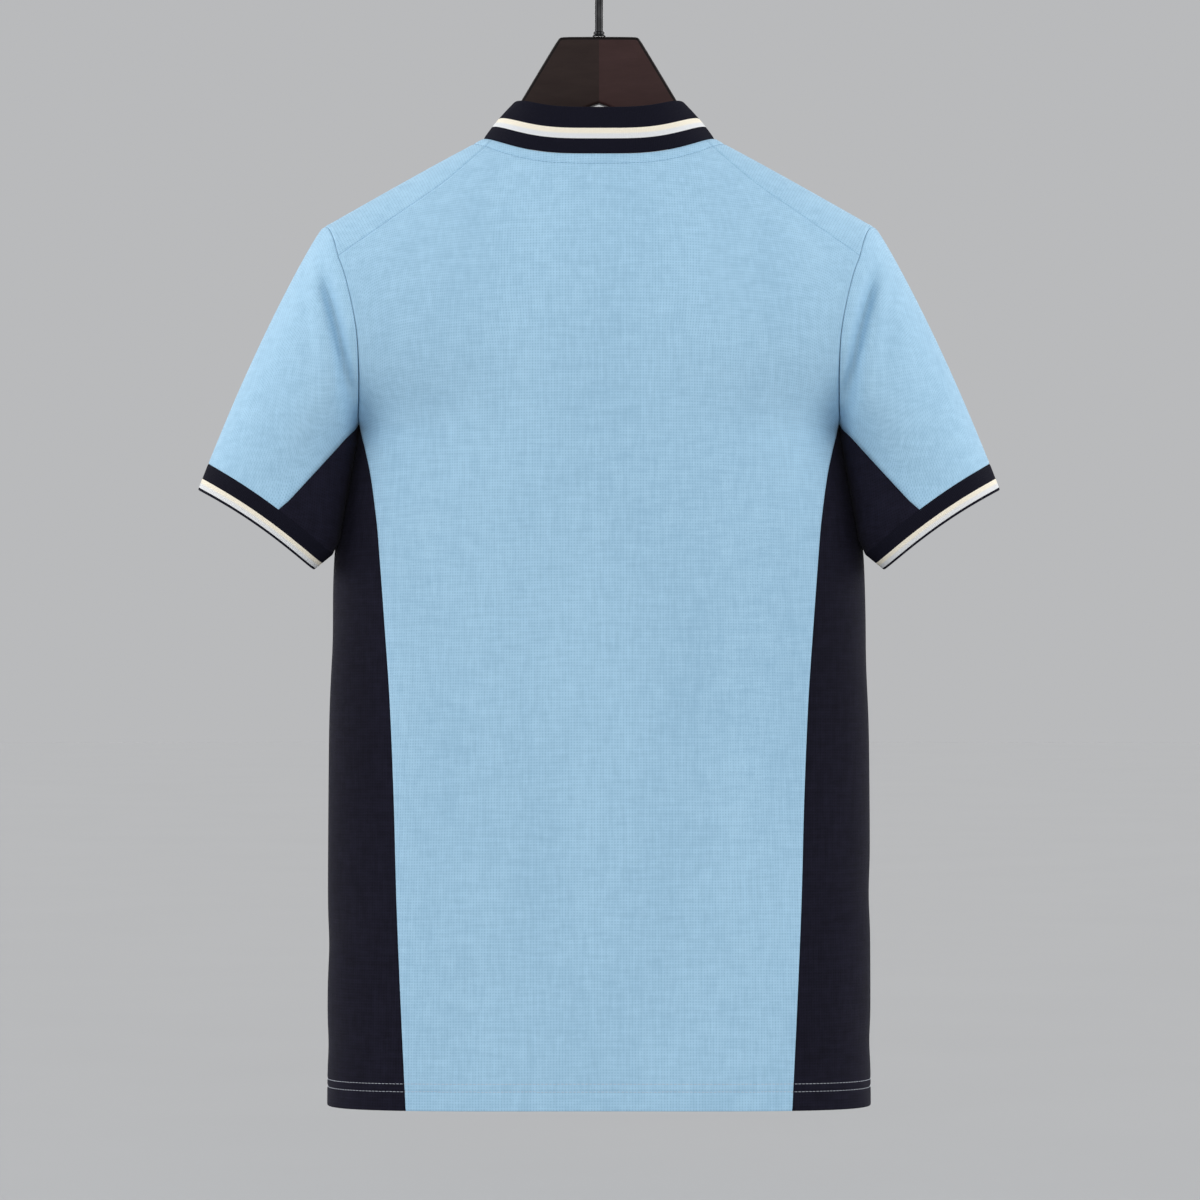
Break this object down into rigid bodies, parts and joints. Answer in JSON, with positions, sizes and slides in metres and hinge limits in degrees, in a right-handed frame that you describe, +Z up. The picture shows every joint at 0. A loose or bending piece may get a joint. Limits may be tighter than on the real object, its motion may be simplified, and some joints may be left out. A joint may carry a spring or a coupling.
{
  "type": "football jersey on a wooden hanger",
  "caption": "Short-sleeved football jersey, pale body with dark side panels and striped ribbed collar and cuffs, filled out and hanging on a wooden hanger.",
  "frame": {"origin": "hang point: the inside top of the hanger's hook, where a rail carries it", "axes": "+Z up; the wearer's left is +X; the back of the jersey faces +Y and its front faces -Y"},
  "size_m": [0.5902, 0.189, 0.8721],
  "materials": {
    "sky_jersey": "fine polyester jersey knit, matt with a soft sheen",
    "navy_jersey": "fine polyester jersey knit, matt",
    "navy_rib": "fine vertical rib knit with a cream and white stripe knitted in",
    "dark_wood": "dark mahogany stain under satin lacquer",
    "hook_steel": "polished chromed steel"
  },
  "bodies": {
    "root": {"back_panel": "sky_jersey", "front_panel": "sky_jersey", "side_panel_left": "navy_jersey", "side_panel_right": "navy_jersey", "sleeve_left": "sky_jersey", "sleeve_right": "sky_jersey", "gusset_left": "navy_jersey", "gusset_right": "navy_jersey", "cuff_left": "navy_rib", "cuff_right": "navy_rib", "collar": "navy_rib", "hanger": "dark_wood", "hook": "hook_steel", "ferrule": "hook_steel"}
  },
  "joints": []
}
